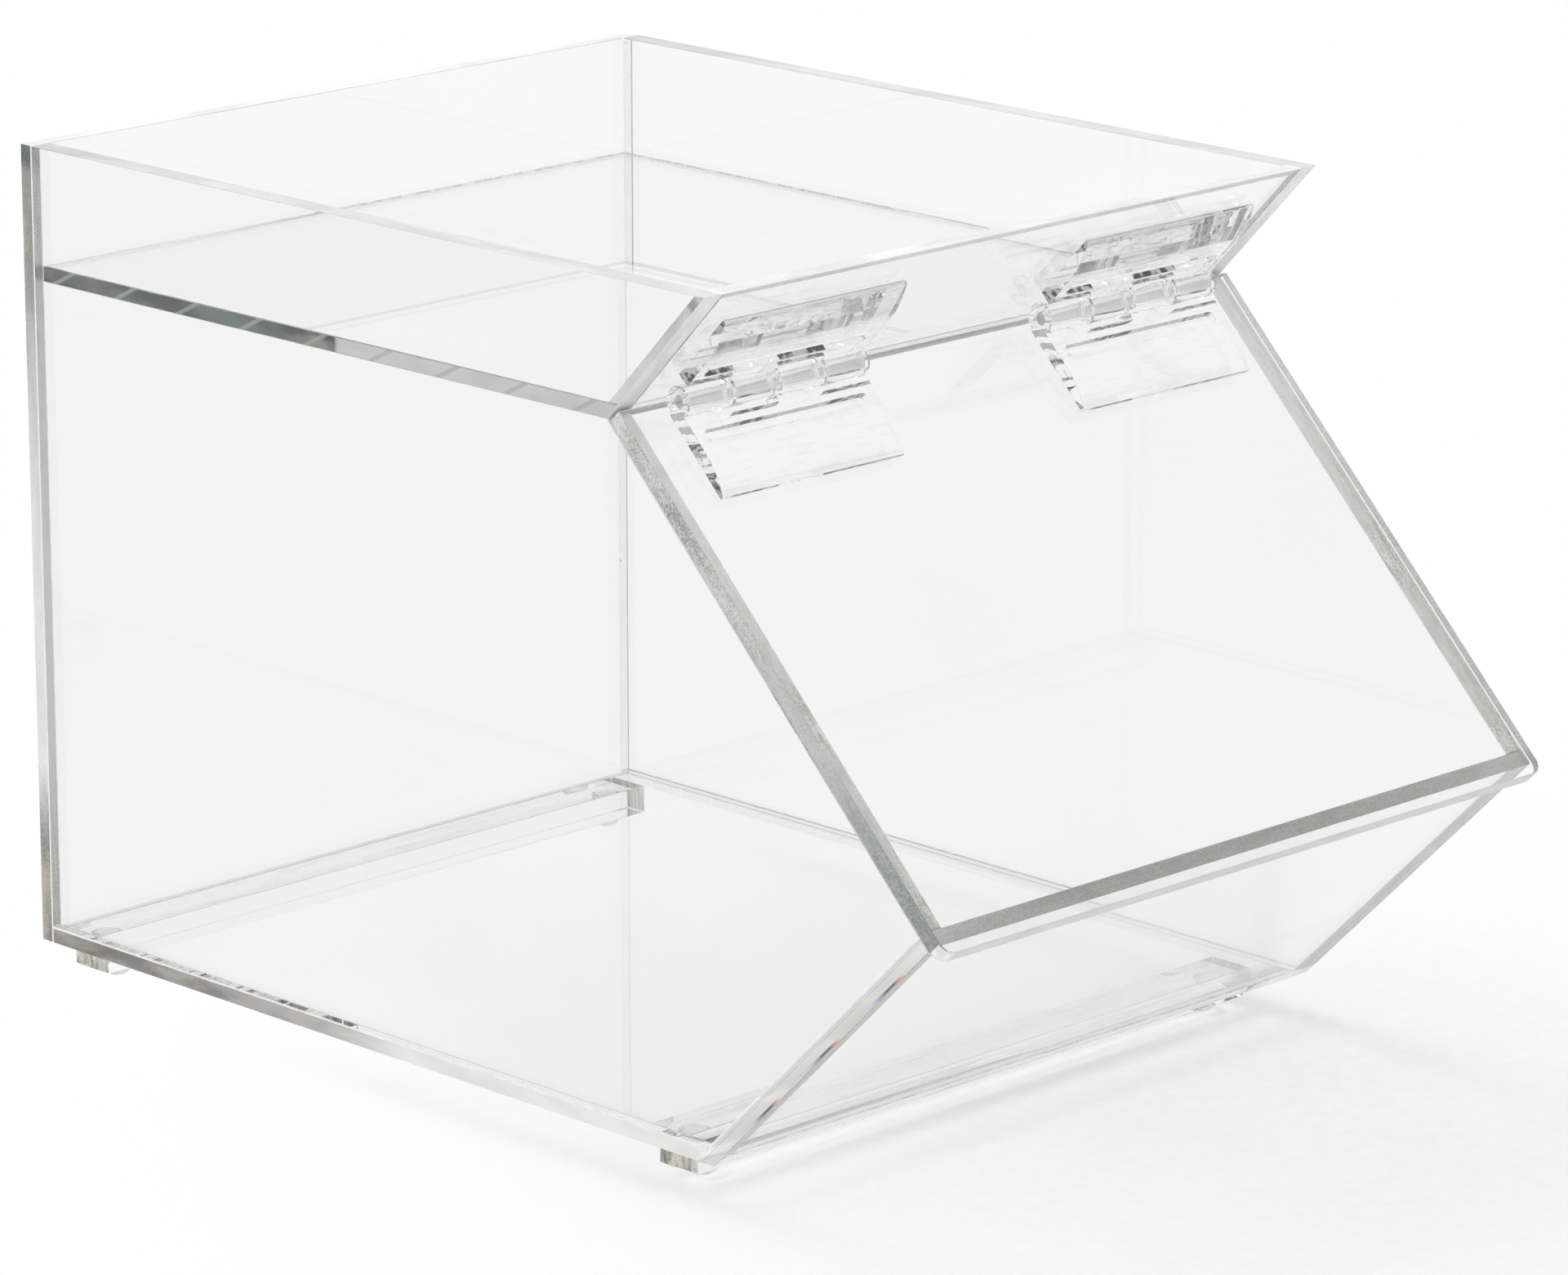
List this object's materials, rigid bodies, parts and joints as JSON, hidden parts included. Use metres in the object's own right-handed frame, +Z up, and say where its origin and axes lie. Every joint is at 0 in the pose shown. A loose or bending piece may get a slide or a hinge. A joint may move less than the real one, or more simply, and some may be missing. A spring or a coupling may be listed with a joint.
{
  "type": "candy bin",
  "caption": "Clear acrylic countertop candy bin with an open tray on top and a sloped front door that swings up on moulded hinges, standing on runners with bumper pads.",
  "frame": {"origin": "on the floor, under the middle of the overall box with the door closed", "axes": "+X to the bin's right seen from the front, +Y from the door towards the back panel, +Z up"},
  "size_m": [0.203, 0.3132, 0.2122],
  "materials": {
    "sheet_acrylic": "clear polished acrylic sheet with matte sawn edges",
    "bar_acrylic": "clear acrylic bar with sawn grey ends",
    "moulded_acrylic": "clear injection-moulded acrylic, glossy",
    "bumper_pad": "clear soft polyurethane, satin"
  },
  "bodies": {
    "frame": {"back_panel": "sheet_acrylic", "base_panel": "sheet_acrylic", "left_side_panel": "sheet_acrylic", "right_side_panel": "sheet_acrylic", "tray_panel": "sheet_acrylic", "fascia_panel": "sheet_acrylic", "lower_front_panel": "sheet_acrylic", "left_fascia_leaf": "moulded_acrylic", "left_hinge_pin": "moulded_acrylic", "right_fascia_leaf": "moulded_acrylic", "right_hinge_pin": "moulded_acrylic", "front_runner": "bar_acrylic", "rear_runner": "bar_acrylic", "front_left_bumper": "bumper_pad", "front_right_bumper": "bumper_pad", "rear_left_bumper": "bumper_pad", "rear_right_bumper": "bumper_pad"},
    "door": {"door_panel": "sheet_acrylic", "left_door_leaf": "moulded_acrylic", "right_door_leaf": "moulded_acrylic"}
  },
  "joints": [
    {"name": "door_hinge", "type": "hinge", "parent": "frame", "child": "door", "pos_m": [0, -0.05872, 0.18225], "axis": [-1, 0, 0], "range_deg": [0, 95]}
  ]
}
